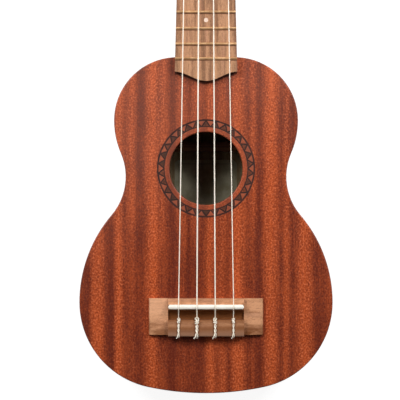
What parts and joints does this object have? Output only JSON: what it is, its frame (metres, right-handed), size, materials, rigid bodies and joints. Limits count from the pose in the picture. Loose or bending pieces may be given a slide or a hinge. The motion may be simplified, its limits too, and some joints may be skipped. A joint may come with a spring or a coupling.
{
  "type": "soprano ukulele",
  "caption": "Soprano ukulele: hollow figure-eight wooden body with a round soundhole, fretted neck, tie-block bridge and geared tuners on a tilted headstock.",
  "frame": {"origin": "on the back's outer face, on the centre line, half way along the body; the instrument lies on its back", "axes": "+X to the first-string side, +Y along the neck towards the headstock, +Z out of the soundboard"},
  "size_m": [0.179, 0.5196, 0.074],
  "materials": {
    "soundboard_wood": "satin lacquer, ribbon-figured mahogany",
    "back_wood": "satin lacquer",
    "side_wood": "satin lacquer",
    "lining_wood": "bare",
    "block_wood": "bare",
    "brace_wood": "bare",
    "label_paper": "matt",
    "board_wood": "oiled walnut",
    "saddle_plastic": "polished",
    "neck_wood": "satin lacquer",
    "fret_wire": "polished",
    "dot_plastic": "polished",
    "tuner_metal": "polished",
    "screw_steel": "nickel plated",
    "worm_steel": "nickel plated",
    "gear_brass": "machined",
    "button_plastic": "polished",
    "string_nylon": "clear-white nylon"
  },
  "bodies": {
    "ukulele": {"soundboard": "soundboard_wood", "back": "back_wood", "side_left": "side_wood", "side_right": "side_wood", "top_linings": "lining_wood", "back_linings": "lining_wood", "neck_block": "block_wood", "tail_block": "block_wood", "upper_top_brace": "brace_wood", "lower_top_brace": "brace_wood", "fan_braces": "brace_wood", "bridge_patch": "brace_wood", "back_braces": "brace_wood", "label": "label_paper", "bridge": "board_wood", "saddle": "saddle_plastic", "neck": "neck_wood", "heel_dowels": "block_wood", "headstock": "neck_wood", "fretboard": "board_wood", "frets": "fret_wire", "position_dots": "dot_plastic", "side_dots": "dot_plastic", "nut": "saddle_plastic", "post_bushings": "tuner_metal", "plate_screws": "screw_steel", "string_g": "string_nylon", "string_c": "string_nylon", "string_e": "string_nylon", "string_a": "string_nylon", "tuner_plate_g": "tuner_metal", "tuner_plate_c": "tuner_metal", "tuner_plate_e": "tuner_metal", "tuner_plate_a": "tuner_metal"},
    "button_g": {"worm_shaft_g": "worm_steel", "button_g": "button_plastic"},
    "post_g": {"post_g": "tuner_metal", "gear_g": "gear_brass", "gear_screw_g": "screw_steel", "winding_g": "string_nylon"},
    "button_c": {"worm_shaft_c": "worm_steel", "button_c": "button_plastic"},
    "post_c": {"post_c": "tuner_metal", "gear_c": "gear_brass", "gear_screw_c": "screw_steel", "winding_c": "string_nylon"},
    "button_e": {"worm_shaft_e": "worm_steel", "button_e": "button_plastic"},
    "post_e": {"post_e": "tuner_metal", "gear_e": "gear_brass", "gear_screw_e": "screw_steel", "winding_e": "string_nylon"},
    "button_a": {"worm_shaft_a": "worm_steel", "button_a": "button_plastic"},
    "post_a": {"post_a": "tuner_metal", "gear_a": "gear_brass", "gear_screw_a": "screw_steel", "winding_a": "string_nylon"}
  },
  "joints": [
    {"name": "button_g_turn", "type": "hinge", "parent": "ukulele", "child": "button_g", "pos_m": [-0.03, 0.33421, 0.0371], "axis": [1, 0, 0], "continuous": true},
    {"name": "button_c_turn", "type": "hinge", "parent": "ukulele", "child": "button_c", "pos_m": [-0.03, 0.37138, 0.0292], "axis": [1, 0, 0], "continuous": true},
    {"name": "button_e_turn", "type": "hinge", "parent": "ukulele", "child": "button_e", "pos_m": [0.03, 0.37138, 0.0292], "axis": [1, 0, 0], "continuous": true},
    {"name": "button_a_turn", "type": "hinge", "parent": "ukulele", "child": "button_a", "pos_m": [0.03, 0.33421, 0.0371], "axis": [1, 0, 0], "continuous": true},
    {"name": "post_g_turn", "type": "hinge", "parent": "ukulele", "child": "post_g", "pos_m": [-0.017, 0.33117, 0.0541], "axis": [0, 0.2079, 0.9781], "continuous": true},
    {"name": "post_c_turn", "type": "hinge", "parent": "ukulele", "child": "post_c", "pos_m": [-0.017, 0.36834, 0.0462], "axis": [0, 0.2079, 0.9781], "continuous": true},
    {"name": "post_e_turn", "type": "hinge", "parent": "ukulele", "child": "post_e", "pos_m": [0.017, 0.36834, 0.0462], "axis": [0, 0.2079, 0.9781], "continuous": true},
    {"name": "post_a_turn", "type": "hinge", "parent": "ukulele", "child": "post_a", "pos_m": [0.017, 0.33117, 0.0541], "axis": [0, 0.2079, 0.9781], "continuous": true}
  ],
  "couplings": [
    {"joint": "post_g_turn", "follows": "button_g_turn", "ratio": -0.071429},
    {"joint": "post_c_turn", "follows": "button_c_turn", "ratio": -0.071429},
    {"joint": "post_e_turn", "follows": "button_e_turn", "ratio": 0.071429},
    {"joint": "post_a_turn", "follows": "button_a_turn", "ratio": 0.071429}
  ]
}
